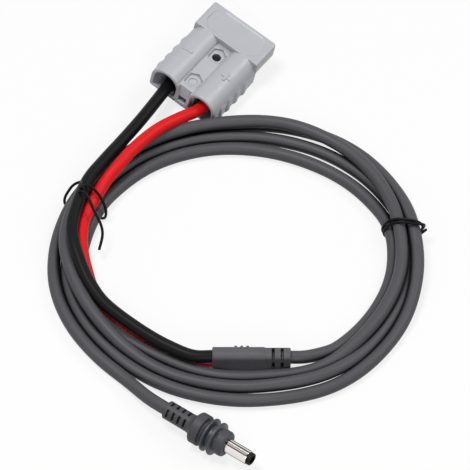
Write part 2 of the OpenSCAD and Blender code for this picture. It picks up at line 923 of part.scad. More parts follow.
// Insulator inside the sleeve, with a dark tip in front of it
module plug_insulator() {
    color(black)
        plug_round()
            difference() {
                polygon([
                    [sleeve_x + plug_clear, 0], [sleeve_x + plug_clear, shank_bore_r - plug_clear],
                    [bore_x + plug_clear, shank_bore_r - plug_clear],
                    [bore_x + plug_clear, bore_r - plug_clear],
                    [barrel_end + plug_clear, bore_r - plug_clear],
                    [barrel_end + plug_clear, barrel_d / 2 - tip_step],
                    [barrel_end + tip_l, barrel_d / 2 - tip_step], [barrel_end + tip_l, 0]
                ]);
                translate([sleeve_x - 1, -1])
                    square([centre_front - sleeve_x + 1, 1 + centre_r + plug_clear]);
                translate([centre_front - 1, -1])
                    square([barrel_end, 1 + pin_hole_d / 2 + tip_hole_step]);
            }
}

// Centre contact with the hole for the pin
module plug_centre_contact() {
    color(silver)
        plug_round()
            translate([sleeve_x + plug_clear, pin_hole_d / 2])
                square([centre_front - sleeve_x - 2 * plug_clear, centre_wall]);
}

// Tie around the coil and both wires, with a loose end inside the coil
module left_tie() {
    color(black)
        tie(left_loop, left_tie_turn);
}

// Tie around the turns on the right
module right_tie() {
    color(black)
        tie(right_loop, right_tie_turn);
}

connector_housing();
contact_negative();
contact_positive();
spring_negative();
spring_positive();
conductor_negative();
conductor_positive();
black_wire();
red_wire();
splitter();
splice_negative();
splice_positive();
cable_start();
cable_coil();
cable_end();
plug_moulding();
plug_seal();
plug_sleeve();
plug_insulator();
plug_centre_contact();
left_tie();
right_tie();
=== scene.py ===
"""Looks of a coiled power cable: two-pole connector, two wires, splitter, coiled cable, plug and ties."""

import math

import bmesh
import bpy
import numpy as np
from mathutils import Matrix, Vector


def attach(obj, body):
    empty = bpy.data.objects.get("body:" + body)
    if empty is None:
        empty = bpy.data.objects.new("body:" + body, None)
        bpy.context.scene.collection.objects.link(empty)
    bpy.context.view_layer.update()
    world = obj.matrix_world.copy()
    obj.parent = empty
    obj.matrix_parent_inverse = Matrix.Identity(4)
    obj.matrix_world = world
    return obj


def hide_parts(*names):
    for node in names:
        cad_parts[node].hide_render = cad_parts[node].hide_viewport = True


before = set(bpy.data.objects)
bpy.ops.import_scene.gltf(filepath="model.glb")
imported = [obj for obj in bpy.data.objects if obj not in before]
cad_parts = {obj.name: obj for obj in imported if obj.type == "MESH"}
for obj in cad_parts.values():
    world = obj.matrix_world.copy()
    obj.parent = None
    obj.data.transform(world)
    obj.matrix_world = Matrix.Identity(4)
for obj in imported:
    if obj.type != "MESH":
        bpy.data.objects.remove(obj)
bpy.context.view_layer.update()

MM = 0.001
TAU = 2 * math.pi
UP = np.array([0.0, 0.0, 1.0])
FLOOR_HALF = 6
LAMP_AIM = (0.07, -0.08, 0)
SEEN_RAYS = ("Is Camera Ray", "Is Glossy Ray", "Is Transmission Ray")


# Camera, floor and light

def make_camera():
    """A long lens that looks down on the coil at the photograph's angle."""
    turn, rise, distance, aim_ahead = math.radians(36), math.radians(52), 1.85, 0.0143
    ahead = Vector((-math.sin(turn), math.cos(turn), 0))
    middle = Vector((0.0713, -0.0803, 0))
    place = middle - ahead * distance * math.cos(rise) + Vector((0, 0, distance * math.sin(rise)))
    camera = bpy.data.objects.new("camera", bpy.data.cameras.new("camera"))
    bpy.context.scene.collection.objects.link(camera)
    camera.data.lens = 314.6
    camera.data.sensor_width = 36
    camera.data.clip_end = 20
    camera.location = place
    camera.rotation_euler = (middle + ahead * aim_ahead - place).to_track_quat("-Z", "Y").to_euler()
    bpy.context.scene.camera = camera


def make_lamp(name, place, size, power):
    """A square soft box at a place, turned to the lamps' common aim."""
    lamp = bpy.data.objects.new(name, bpy.data.lights.new(name, "AREA"))
    bpy.context.scene.collection.objects.link(lamp)
    lamp.data.shape = "SQUARE"
    lamp.data.size = size
    lamp.data.energy = power
    lamp.location = place
    lamp.rotation_euler = (Vector(LAMP_AIM) - Vector(place)).to_track_quat("-Z", "Y").to_euler()


def make_floor():
    """A wide white square to stand on."""
    corners = [(x * FLOOR_HALF, y * FLOOR_HALF, 0) for x, y in ((-1, -1), (1, -1), (1, 1), (-1, 1))]
    mesh = bpy.data.meshes.new("floor")
    mesh.from_pydata(corners, [], [(0, 1, 2, 3)])
    mesh.materials.append(white_floor("floor_white"))
    floor = bpy.data.objects.new("floor", mesh)
    bpy.context.scene.collection.objects.link(floor)


# Materials

# Painted shade in hollows keeps this share of a dark colour. The painted reflection bands' direction and shift give 0
# at the barrel's axis.
PAINTED_SHADE_SHARE = 0.08
PAINTED_REFLECTION_ACROSS, PAINTED_REFLECTION_MIDDLE, PAINTED_REFLECTION_EDGE = (0, 260, 164.3), 42.77, 0.06


class Socket:
    """One output of a material's nodes. Sums on it add Math nodes, and node() adds any other node."""

    def __init__(self, tree, socket):
        self.tree = tree
        self.socket = socket

    def node(self, kind, settings=None, sockets=None, out=0):
        """Adds a node, sets its settings and then its sockets' values or links, and gives one output."""
        node = self.tree.nodes.new(kind)
        for name, value in (settings or {}).items():
            setattr(node, name, value)
        for key, value in (sockets or {}).items():
            if isinstance(value, Socket):
                self.tree.links.new(value.socket, node.inputs[key])
            else:
                node.inputs[key].default_value = value
        return Socket(self.tree, node.outputs[out]) if node.outputs else None

    def math(self, operation, a, b):
        """One sum of two values or outputs."""
        return self.node("ShaderNodeMath", {"operation": operation}, {0: a, 1: b})

    def __add__(self, other):
        return self.math("ADD", self, other)

    def __radd__(self, other):
        return self.math("ADD", other, self)

    def __sub__(self, other):
        return self.math("SUBTRACT", self, other)

    def __rsub__(self, other):
        return self.math("SUBTRACT", other, self)

    def __mul__(self, other):
        return self.math("MULTIPLY", self, other)

    def __rmul__(self, other):
        return self.math("MULTIPLY", other, self)

    def stretch(self, factors):
        """The coordinates, each axis times its factor."""
        return self.node("ShaderNodeVectorMath", {"operation": "MULTIPLY"}, {0: self, 1: factors})

    def noise(self, scale, detail=3.0, rough=0.55):
        """Soft noise from 0 to 1 on these coordinates."""
        return self.node("ShaderNodeTexNoise", None,
                         {"Vector": self, "Scale": scale, "Detail": detail, "Roughness": rough}, "Fac")

    def step(self, low, high):
        """0 below low, 1 above high, smooth between."""
        return self.node("ShaderNodeMapRange", {"interpolation_type": "SMOOTHSTEP"},
                         {"Value": self, "From Min": low, "From Max": high})

    def colour(self, low, high):
        """A colour between two, as this value goes from 0 to 1."""
        return self.node("ShaderNodeMix", {"data_type": "RGBA"}, {0: self, 6: (*low, 1), 7: (*high, 1)}, 2)

    def bump(self, depth):
        """A surface normal raised by this value times a depth in metres."""
        return self.node("ShaderNodeBump", None, {"Height": self, "Strength": 1.0, "Distance": depth})


def new_material(name):
    """An empty material, and its object coordinates."""
    material = bpy.data.materials.new(name)
    material.use_nodes = True
    material.node_tree.nodes.clear()
    start = Socket(material.node_tree, None)
    return material, start.node("ShaderNodeTexCoord", None, None, "Object")


def finish_surface(place, colour, roughness, normal, **fixed):
    """The shader of a material: varying colour, roughness and normal, and fixed values by socket name."""
    sockets = {"Base Color": colour, "Roughness": roughness, "Normal": normal}
    sockets.update({name.replace("_", " ").title().replace("Ior", "IOR"): v for name, v in fixed.items()})
    shader = place.node("ShaderNodeBsdfPrincipled", None, sockets)
    place.node("ShaderNodeOutputMaterial", None, {"Surface": shader})


def with_painted_shade(place, colour, dark, reach, low, high):
    """A colour that goes over to painted shade in hollows and between parts, judged by how open the surface is within
    a reach.
    """
    # Painted shade: the colour darkens towards a dark tone where the surface is closed in, standing in for shade in
    # hollows and between parts.
    clear = place.node("ShaderNodeAmbientOcclusion", {"samples": 8, "only_local": True}, {"Distance": reach}, "AO")
    painted_shade_colour = tuple(PAINTED_SHADE_SHARE * v for v in dark)
    return place.node("ShaderNodeMix", {"data_type": "RGBA"},
                      {0: clear.step(low, high), 6: (*painted_shade_colour, 1), 7: colour}, 2)


def moulded_plastic(name, dark, light, rough, grain, shine=0.5):
    """Moulded plastic: cloudy colour, a fine grain, smoother rubbed spots, and painted shade deep in hollows."""
    material, place = new_material(name)
    cloud = place.noise(70, 4)
    fine = place.noise(2400, 2, 0.5)
    rubbed = place.noise(260, 5, 0.6).step(0.52, 0.72)
    speck = place.noise(900, 2).step(0.62, 0.75)
    colour = (0.7 * cloud + 0.3 * fine - 0.25 * speck).colour(dark, light)
    # Painted shade deep in hollows, such as the chambers, the pockets and the gaps between ribs.
    colour = with_painted_shade(place, colour, dark, 0.012, 0.05, 0.62)
    finish_surface(place, colour, rough + 0.12 * fine - 0.08 * rubbed, fine.bump(grain), specular_ior_level=shine)
    return material


def extruded_jacket(name, dark, light, rough, shine):
    """Extruded cable jacket: draw lines along its length, faint clouds, dusty spots, and painted shade where turns
    meet.
    """
    material, place = new_material(name)
    straight = place.node("ShaderNodeAttribute", {"attribute_name": "straight"}, None, "Vector")
    lines = straight.stretch((25, 1600, 1600)).noise(1, 3)
    cloud = straight.stretch((60, 220, 220)).noise(1, 4)
    pores = place.noise(3200, 2)
    dust = place.noise(420, 5, 0.65).step(0.56, 0.8)
    colour = (0.45 * cloud + 0.4 * lines + 0.25 * dust).colour(dark, light)
    # Painted shade where turns and wires touch, darkening the lines between them.
    colour = with_painted_shade(place, colour, dark, 0.009, 0.25, 0.85)
    height = 0.7 * lines + 0.3 * pores
    finish_surface(place, colour, rough + 0.1 * lines + 0.14 * dust, height.bump(0.00003),
                   specular_ior_level=shine)
    return material


def plated_metal(name, dark, light, rough, along=(1, 1, 1), painted_reflections=False):
    """Plated metal: tool lines across one axis, soft tarnish and small scratches.
    On the plug's barrel, painted reflections run along it as dark bands, each between two places across the barrel, -1
    to 1 as seen."""
    material, place = new_material(name)
    lines = place.stretch(along).noise(1, 2)
    tarnish = place.noise(160, 5, 0.6)
    scratch = place.stretch((900, 2600, 900)).noise(1, 2).step(0.62, 0.7)
    shade = 0.6 * tarnish + 0.3 * lines - 0.2 * scratch
    if painted_reflections:
        # Painted reflections: dark bands at fixed places across the barrel stand in for the dark surroundings it
        # reflects.
        around = place.node("ShaderNodeVectorMath", {"operation": "DOT_PRODUCT"},
                            {0: place, 1: PAINTED_REFLECTION_ACROSS}, "Value") + PAINTED_REFLECTION_MIDDLE
        shade = 0.75 + 0.3 * tarnish
        for low, high, depth in ((-1.3, -0.86, 0.6), (0, 0.42, 1), (0.58, 0.76, 0.9), (0.92, 1.3, 0.6)):
            shade = shade - depth * (around.step(low - PAINTED_REFLECTION_EDGE, low + PAINTED_REFLECTION_EDGE)
                                     - around.step(high - PAINTED_REFLECTION_EDGE, high + PAINTED_REFLECTION_EDGE))
    finish_surface(place, shade.colour(dark, light), rough + 0.12 * tarnish + 0.1 * scratch, lines.bump(0.000006),
                   metallic=1.0)
    return material


def stranded_copper(name):
    """Bare copper strands: fine slanted ridges, darker between the strands."""
    material, place = new_material(name)
    ridges = place.node("ShaderNodeTexWave", {"wave_type": "BANDS", "bands_direction": "DIAGONAL"},
                        {"Vector": place, "Scale": 420, "Distortion": 1.5, "Detail": 2}, "Fac")
    tarnish = place.noise(300, 4)
    colour = (0.6 * ridges + 0.4 * tarnish).colour((0.32, 0.11, 0.05), (0.78, 0.38, 0.2))
    finish_surface(place, colour, 0.3 + 0.2 * tarnish, ridges.bump(0.00008), metallic=1.0)
    return material


def seen_share(place):
    """1 for what the eye sees, also in reflections and through glass, and 0 for the light that falls on things."""
    rays = [place.node("ShaderNodeLightPath", None, None, kind) for kind in SEEN_RAYS]
    return rays[0] + rays[1] + rays[2]


def white_floor(name):
    """A floor that is mostly plain white to the eye and in reflections, but keeps the soft shadow, and throws
    little light back up."""
    material, place = new_material(name)
    seen = seen_share(place)
    paint = place.node("ShaderNodeBsdfDiffuse", None, {"Color": (0.95, 0.95, 0.95, 1)})
    glow = place.node("ShaderNodeEmission", None, {"Color": (1, 1, 1, 1), "Strength": 1.0})
    white = place.node("ShaderNodeMixShader", None, {0: 0.78, 1: paint, 2: glow})
    dull = place.node("ShaderNodeBsdfDiffuse", None, {"Color": (0.35, 0.35, 0.35, 1)})
    both = place.node("ShaderNodeMixShader", None, {0: seen, 1: dull, 2: white})
    place.node("ShaderNodeOutputMaterial", None, {"Surface": both})
    return material


def white_world():
    """A white sky: soft light for the object, plain white to the eye and in reflections."""
    world = bpy.data.worlds.new("sky")
    world.use_nodes = True
    world.node_tree.nodes.clear()
    start = Socket(world.node_tree, None)
    sky = start.node("ShaderNodeBackground", None,
                     {"Color": (1, 1, 1, 1), "Strength": 0.2 + 0.8 * seen_share(start)})
    start.node("ShaderNodeOutputWorld", None, {"Surface": sky})
    bpy.context.scene.world = world


# Meshes

MERGE_DIST, TINY_EDGE = 2e-6, 1e-6
SPAN_STEPS = 30


def grid_quads(rows, columns, first):
    """Quads of a grid whose last column joins its first, numbered from a first vertex."""
    i, j = np.meshgrid(np.arange(rows - 1), np.arange(columns), indexing="ij")
    k = (j + 1) % columns
    quads = np.stack([i * columns + j, i * columns + k, (i + 1) * columns + k, (i + 1) * columns + j], -1)
    return quads.reshape(-1, 4) + first


def make_piece(name, grids, material, replaced, straight=None, sharp=42):
    """One object from closed grids of points in millimetres, joined where they meet, faces outwards."""
    first = np.cumsum([0] + [g.shape[0] * g.shape[1] for g in grids])
    quads = np.concatenate([grid_quads(*g.shape[:2], n) for g, n in zip(grids, first)])
    points = np.concatenate([g.reshape(-1, 3) for g in grids]) * MM
    mesh = bpy.data.meshes.new(name)
    mesh.from_pydata(points, [], quads.tolist())
    if straight is not None:
        layer = mesh.attributes.new("straight", "FLOAT_VECTOR", "POINT")
        layer.data.foreach_set("vector", (straight.reshape(-1) * MM).astype(np.float32))
    shell = bmesh.new()
    shell.from_mesh(mesh)
    bmesh.ops.remove_doubles(shell, verts=shell.verts, dist=MERGE_DIST)
    bmesh.ops.dissolve_degenerate(shell, dist=TINY_EDGE, edges=shell.edges)
    bmesh.ops.recalc_face_normals(shell, faces=shell.faces)
    shell.to_mesh(mesh)
    shell.free()
    mesh.shade_smooth()
    mesh.set_sharp_from_angle(angle=math.radians(sharp))
    mesh.materials.append(material)
    piece = bpy.data.objects.new(name, mesh)
    bpy.context.scene.collection.objects.link(piece)
    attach(piece, "root")
    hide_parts(*replaced)
    return piece


def smooth_step(low, high, x):
    """0 below low, 1 above high, a cubic between."""
    t = np.clip((x - low) / (high - low), 0, 1)
    return t * t * (3 - 2 * t)


def window(x, half, edge):
    """1 within half of 0, 0 further out, with a soft edge."""
    return 1 - smooth_step(half - edge, half + edge, np.abs(x))


def unit(v):
    """Vectors of length one in the same directions."""
    return v / np.linalg.norm(v, axis=-1, keepdims=True)


def travelled(path):
    """Distance along a path at each of its points."""
    return np.concatenate([[0], np.cumsum(np.linalg.norm(np.diff(path, axis=0), axis=1))])


def smooth_route(points, step, soften=0):
    """A curve through points: each span is a cubic whose end slopes are half the neighbours' chord.
    It is walked at equal steps, and then each inner point is averaged with its neighbours, some times over."""
    p = np.asarray(points, float)
    p = np.vstack([2 * p[0] - p[1], p, 2 * p[-1] - p[-2]])
    t = np.linspace(0, 1, SPAN_STEPS, endpoint=False)[:, None, None]
    a, b, c, d = p[:-3], p[1:-2], p[2:-1], p[3:]
    curve = 0.5 * (2 * b + (c - a) * t + (2 * a - 5 * b + 4 * c - d) * t ** 2 + (3 * b - a - 3 * c + d) * t ** 3)
    curve = np.vstack([curve.transpose(1, 0, 2).reshape(-1, 3), p[-2]])
    far = travelled(curve)
    at = np.linspace(0, far[-1], int(far[-1] / step) + 1)
    path = np.stack([np.interp(at, far, curve[:, i]) for i in range(3)], -1)
    for _ in range(soften):
        path[1:-1] = 0.25 * path[:-2] + 0.5 * path[1:-1] + 0.25 * path[2:]
    return path


def tube(path, radius, sides, up=UP, lay=0.0, pitch=30.0):
    """A round profile carried along a path, closed at both ends.
    The radius swells by lay twice around, turning once in each pitch, as twisted cores show through a jacket.
    Also gives each point's place on the straightened cord: distance along it, and across it."""
    along = unit(np.gradient(path, axis=0))
    side = unit(np.cross(along, up))
    top = np.cross(side, along)
    turn = TAU * np.arange(sides) / sides
    far = travelled(path)[:, None]
    r = radius + lay * np.cos(2 * turn[None, :] - TAU * far / pitch)
    ring = np.cos(turn)[None, :, None] * side[:, None, :] + np.sin(turn)[None, :, None] * top[:, None, :]
    grid = path[:, None, :] + r[..., None] * ring
    straight = np.stack([far + 0 * r, r * np.cos(turn), r * np.sin(turn)], -1)
    ends = [np.repeat(path[i][None, None], sides, 1) for i in (0, -1)]
    grid = np.concatenate([ends[0], grid, ends[1]])
    straight = np.concatenate([straight[:1], straight, straight[-1:]])
    return grid, straight


def rounded_oblong(half_w, half_h, radius, counts):
    """Outlines of rectangles with round corners: a corner's centre moves between the corners along each
    straight side, and the radius points out from it. One row for each size."""
    wide, tall, bend = counts
    q = np.linspace(0, math.pi / 2, bend + 1)
    run_w = np.linspace(1, -1, wide + 1)[1:-1]
    run_h = np.linspace(1, -1, tall + 1)[1:-1]
    one_w, one_h, one_q = np.ones_like(run_w), np.ones_like(run_h), np.ones_like(q)
    x = np.concatenate([one_q, run_w, -one_q, -one_h, -one_q, -run_w, one_q, one_h])
    y = np.concatenate([one_q, one_w, one_q, run_h, -one_q, -one_w, -one_q, -run_h])
    turn = np.concatenate([q, q[-1] * one_w, q + math.pi / 2, math.pi * one_h, q + math.pi,
                           1.5 * math.pi * one_w, q + 1.5 * math.pi, TAU * one_h])
    w, h, r = (np.asarray(v, float)[:, None] for v in (half_w, half_h, radius))
    return x * (w - r) + r * np.cos(turn), y * (h - r) + r * np.sin(turn)


def close_ends(grid):
    """The grid with its first and last rows drawn together to their middles."""
    return np.concatenate([grid[:1] * 0 + grid[:1].mean(1, keepdims=True), grid,
                           grid[-1:] * 0 + grid[-1:].mean(1, keepdims=True)])


def rounded_block(low, high, r):
    """A block with round edges: an oblong outline carried up, drawn in by a quarter circle at each end."""
    low, high = np.asarray(low, float), np.asarray(high, float)
    q = np.linspace(0, math.pi / 2, 6)
    inset = np.concatenate([r * (1 - np.sin(q)), r * (1 - np.cos(q))])
    z = np.concatenate([low[2] + r * (1 - np.cos(q)), high[2] - r * (1 - np.sin(q))])
    half = (high - low) / 2
    x, y = rounded_oblong(half[0] - inset, half[1] - inset, np.maximum(r - inset, 0) + 0.02, (2, 2, 5))
    middle = (low + high) / 2
    return close_ends(np.stack([x + middle[0], y + middle[1], z[:, None] + 0 * x], -1))


def turned(profile, at, sides):
    """A ring: a profile of (distance, radius) rows turned about an axis along X from a point, its end joined to
    its start."""
    p = np.asarray(profile, float)
    p = np.vstack([p, p[:1]])
    turn = TAU * np.arange(sides) / sides
    x = p[:, :1] + 0 * turn
    return np.stack([at[0] + x, at[1] + p[:, 1:] * np.cos(turn), at[2] + p[:, 1:] * np.sin(turn)], -1)


def finer(profile, step):
    """The same profile with points no further apart than a step."""
    p = np.asarray(profile, float)
    far = travelled(p)
    at = np.unique(np.concatenate([far, np.linspace(0, far[-1], int(far[-1] / step) + 1)]))
    return np.stack([np.interp(at, far, p[:, i]) for i in range(2)], -1)


make_camera()
white_world()
make_lamp("key_lamp", (-0.35, -0.3, 1.7), 0.6, 17)
make_lamp("rim_lamp", (0.7, 0.75, 1.2), 0.6, 6)
make_lamp("front_lamp", (1.05, -1.05, 0.9), 0.5, 6)
make_floor()

shell_grey = moulded_plastic("connector_grey", (0.43, 0.44, 0.475), (0.51, 0.52, 0.555), 0.3, 0.00002)
moulding_grey = moulded_plastic("moulding_grey", (0.074, 0.074, 0.082), (0.104, 0.104, 0.113), 0.45, 0.00004, 0.35)
plug_grey = moulded_plastic("plug_grey", (0.046, 0.046, 0.052), (0.072, 0.072, 0.08), 0.45, 0.00004, 0.3)
seal_rubber = moulded_plastic("seal_rubber", (0.04, 0.044, 0.052), (0.066, 0.072, 0.084), 0.34, 0.00003, 0.4)
insulator_black = moulded_plastic("insulator_black", (0.004, 0.004, 0.005), (0.012, 0.012, 0.013), 0.4, 0.00002,
                                  0.15)
jacket_grey = extruded_jacket("cable_grey", (0.056, 0.055, 0.062), (0.095, 0.094, 0.103), 0.42, 0.28)
jacket_black = extruded_jacket("wire_black", (0.003, 0.003, 0.0035), (0.012, 0.012, 0.013), 0.36, 0.1)
jacket_red = extruded_jacket("wire_red", (0.66, 0.006, 0.009), (0.84, 0.014, 0.018), 0.4, 0.2)
tie_black = extruded_jacket("tie_black", (0.002, 0.002, 0.003), (0.008, 0.008, 0.009), 0.34, 0.1)
plating = plated_metal("contact_plating", (0.5, 0.49, 0.47), (0.82, 0.81, 0.78), 0.22, (800, 90, 800))
spring_steel = plated_metal("spring_steel", (0.36, 0.36, 0.37), (0.62, 0.62, 0.63), 0.26, (1500, 60, 1500))
# The plug's dark colour feeds the painted reflection bands on its barrel.
plug_nickel = plated_metal("plug_nickel", (0.05, 0.042, 0.04), (0.9, 0.86, 0.83), 0.16, (3200, 40, 40), True)
copper = stranded_copper("copper")


# Cords: routes in millimetres, fitted to the photograph and carried as tubes

# The connector's lean and the shift that sets it on the floor, and each wire's distance from its middle
LEAN, LEAN_X, LEAN_Z = math.radians(11.5), -1.286, 3.370
POLE = 10.25
# Radii of a wire and of the cable, and how far the cable's twisted cores swell its jacket
WIRE_R, CABLE_R, CABLE_LAY = 2.9, 2.97, 0.03
COIL_AT = np.array([74.0, -82.0])
# The splitter's place, turn and half length, where the cords end inside it, and the cable's height there
SPLITTER_AT, SPLITTER_TURN = np.array([112.0, -124.0]), math.radians(36)
SPLITTER_END, SEAT_END, CABLE_H = 17.25, 12.25, 6.4
PLUG_AT = np.array([99.5, -169.5, 7.9])


def leaned(points):
    """Points of the level connector, turned down to the right about its length and set on the floor."""
    w, y, h = np.moveaxis(np.asarray(points, float), -1, 0)
    return np.stack([w * math.cos(LEAN) + h * math.sin(LEAN) + LEAN_X, y,
                     h * math.cos(LEAN) - w * math.sin(LEAN) + LEAN_Z], -1)


def in_splitter(points):
    """Points of the splitter along X, turned and set at its place."""
    x, y, z = np.moveaxis(np.asarray(points, float), -1, 0)
    c, s = math.cos(SPLITTER_TURN), math.sin(SPLITTER_TURN)
    return np.stack([SPLITTER_AT[0] + c * x - s * y, SPLITTER_AT[1] + s * x + c * y, z], -1)


def on_coil(radius, turn, height, step=0.0):
    """Points at a radius and an angle in degrees about the coil, a step along the turn, at a height."""
    a = np.radians(turn)
    return np.stack([COIL_AT[0] + radius * np.cos(a) - step * np.sin(a),
                     COIL_AT[1] + radius * np.sin(a) + step * np.cos(a), height + 0 * radius], -1)


# Wires: points in the frame, then radius, angle and height about the coil
BLACK_ROUTE = np.vstack([
    [[-6.6, -45.2, 11.2], [-5.4, -61.6, 12.2], [-4.4, -77.9, 13.5]],
    on_coil(*np.array([
        [77.4, 187.5, 14.7], [75.8, 200, 14.4], [75.2, 208, 13.9], [73, 215.5, 13.4], [70.8, 222, 12.1],
        [69.3, 228, 10.8], [67.6, 234, 9.7], [65.9, 241, 9.1], [63, 251, 9], [60.9, 265, 9],
        [60.5, 276, 8.8], [60.7, 287, 8.5]
    ]).T)
])
RED_ROUTE = np.vstack([
    [[7.5, -35.5, 11.5], [4.3, -48.5, 13.6], [2.7, -63.5, 14.2], [2.6, -75.8, 13.4]],
    on_coil(*np.array([
        [71.6, 184, 11.2], [71.7, 199, 9.3], [70.8, 208, 9.2], [69.8, 214.5, 8.8], [68.8, 219.5, 7.8],
        [67.7, 225, 5.8], [66.9, 231, 4], [64.7, 240, 3.05], [61.5, 250, 3.05], [59, 262, 3.05],
        [57.6, 274, 3], [57.4, 286, 3]
    ]).T)
])
START_ROUTE = [[130.4, -110.2, 5.6], [134.2, -103.8, 4.0]]
END_ROUTE = [[74.5, -164.7, 3.4], [88, -168, 5.6]]

# The coil: at each angle, radius and height of its four turns; the second one mostly rides on the others
COIL_TURNS = np.array([
    # angle, then radius and height of the first, second, third and fourth turn
    [-22, 65.6, 3.6, 71.2, 3.4, 76.6, 6.2, 82, 3.05],
    [-5, 66, 3.05, 71.2, 7.3, 75.6, 3.4, 81.3, 3.05],
    [12, 67.5, 3.05, 71.9, 7.9, 75.4, 3.05, 81.3, 3.05],
    [28, 69.4, 3.05, 73.4, 8.1, 76.8, 3.05, 81, 7.1],
    [50, 71.4, 3.05, 74.4, 8.3, 77.5, 3.05, 80.3, 8.4],
    [70, 68.8, 3.05, 76.6, 9.2, 75.9, 3.05, 82, 4.5],
    [92, 65.8, 3.05, 79.2, 7.4, 74.2, 3.05, 83.3, 3.05],
    [110, 64.9, 3.05, 79.2, 8.6, 72.6, 3.05, 81, 3.05],
    [130, 65.6, 3.05, 76.4, 8.4, 72.1, 3.05, 78.5, 3.05],
    [165, 68, 3.05, 77.3, 8.3, 74.2, 3.05, 80.3, 3.05],
    [192, 69.2, 3.05, 78.4, 8.35, 75.3, 3.05, 81.4, 3.05],
    [205, 69.8, 3.05, 79, 8.35, 75.9, 3.05, 82, 3.05],
    [214, 70.5, 3.05, 77.6, 8.9, 76.5, 3.05, 82.5, 3.05],
    [222, 71, 3.05, 75.6, 9, 76.9, 3.05, 82.8, 3.05],
    [231, 71.5, 3.05, 73.6, 8.6, 77.1, 3.05, 82.9, 3.05],
    [240, 70.4, 3.05, 72.2, 8.2, 76.3, 3.05, 82.3, 3.05],
    [256, 66.8, 3.05, 70.8, 6.9, 75.4, 3.05, 81.6, 3.05],
    [272, 63.4, 3.05, 70.1, 3.05, 76.2, 3.05, 82.2, 3.05],
    [290, 64.4, 3.05, 70.5, 4.2, 76.5, 3.05, 83.4, 3.05],
    [307, 65, 3.05, 71.4, 4.6, 77.4, 3.05, 84, 3.05],
    [320, 65.6, 3.1, 72.2, 5.2, 78.5, 3.05, 83.6, 3.05],
])
# Angles in degrees where the coil starts and ends, the step between its points, and the softening in steps
COIL_FROM, COIL_TO, COIL_STEP = -14, 3 * 360 + 262.5, 0.5
SOFT_REACH, SOFT_WIDTH = 30, 12
# Angles of the ties, and the hump over them: its height, and its half width and edge in degrees
LEFT_TIE, RIGHT_TIE = 192, 50
HUMP_H, HUMP_HALF, HUMP_EDGE = 1.3, 8, 6


def coil_path():
    """The turns of the coil: radius and height worked out along one angle that keeps growing, both softened,
    with a low hump where the turns lie on a tie's strands."""
    angles = np.concatenate([COIL_TURNS[:, 0] + 360 * k for k in range(4)])
    at = np.arange(COIL_FROM, COIL_TO, COIL_STEP)
    radius, height = (np.interp(at, angles, COIL_TURNS[:, first::2].T.reshape(-1)) for first in (1, 2))
    spread = np.exp(-0.5 * (np.arange(-SOFT_REACH, SOFT_REACH + 1) / SOFT_WIDTH) ** 2)
    spread /= spread.sum()
    radius, height = (np.convolve(np.pad(v, SOFT_REACH, "edge"), spread, "valid") for v in (radius, height))
    for turn in (LEFT_TIE, RIGHT_TIE):
        off = (at - turn + 180) % 360 - 180
        height = height + HUMP_H * window(off, HUMP_HALF, HUMP_EDGE)
    return on_coil(radius, at, height)


black_path = smooth_route(np.vstack([leaned([[-POLE, -14, 5.6], [-8.9, -24, 5.2]]), BLACK_ROUTE,
                                     in_splitter([[-SPLITTER_END, -1, 8.3], [-SEAT_END, -1, 8.3]])]),
                          step=1.2, soften=6)
red_path = smooth_route(np.vstack([leaned([[POLE, -14, 7.1], [POLE, -24, 7.1]]), RED_ROUTE,
                                   in_splitter([[-SPLITTER_END, 0.1, 3], [-SEAT_END, 0.1, 3]])]),
                        step=1.2, soften=6)
coil = coil_path()
cable_path = smooth_route(np.vstack([in_splitter([[SEAT_END, 0, CABLE_H], [SPLITTER_END, 0, CABLE_H]]),
                                     START_ROUTE, coil[::6], END_ROUTE, PLUG_AT, PLUG_AT + [5, 0, 0]]),
                          step=1.4, soften=10)

grid, straight = tube(black_path, WIRE_R, 24)
black_wire = make_piece("black_wire_jacket", [grid], jacket_black, ["black_wire"], straight)
grid, straight = tube(red_path, WIRE_R, 24)
red_wire = make_piece("red_wire_jacket", [grid], jacket_red, ["red_wire"], straight)
grid, straight = tube(cable_path, CABLE_R, 26, lay=CABLE_LAY)
grey_cable = make_piece("grey_cable", [grid], jacket_grey,
                        ["cable_start", "cable_coil", "cable_end"], straight)


# Connector, worked out level and then leaned

# Places along the connector, then radii, heights and half widths across it
FRONT, CAVITY, HOOD, REAR, BEHIND_WEB = 24.0, 9.0, 8.3, -24.0, -22.0
BARREL_R, CHAMBER_R, CHANNEL_H, CHANNEL_HALF, HOOD_LOW = 8.0, 6.2, 12.5, 4.2, 9.4
HOOD_HALF, HOOD_TOP, WALL = 18.25, 16.0, 1.8
TILE_HALF, HOLE_R, HEX_HALF = 5, 2.1, 4.08
RIB_PLACES, RIB_HALF, RIB_RISE = (-17.5, -11.6, -5.5, 0.7), 1.7, 0.75
PANEL_AT, PANEL_CORE_W, PANEL_CORE_L, PANEL_DEEP = 16.15, 10, 1.25, 0.4
MARK_LONG, MARK_WIDE, MARK_LOW, MARK_HIGH, MARK_EDGE = 2.5, 0.6, 15.0, 16.5, 0.12
MARK_AT, MARK_OUT = -6.8, 0.8
TONGUE_HALF, TONGUE_TOP = 5.9, 4.9


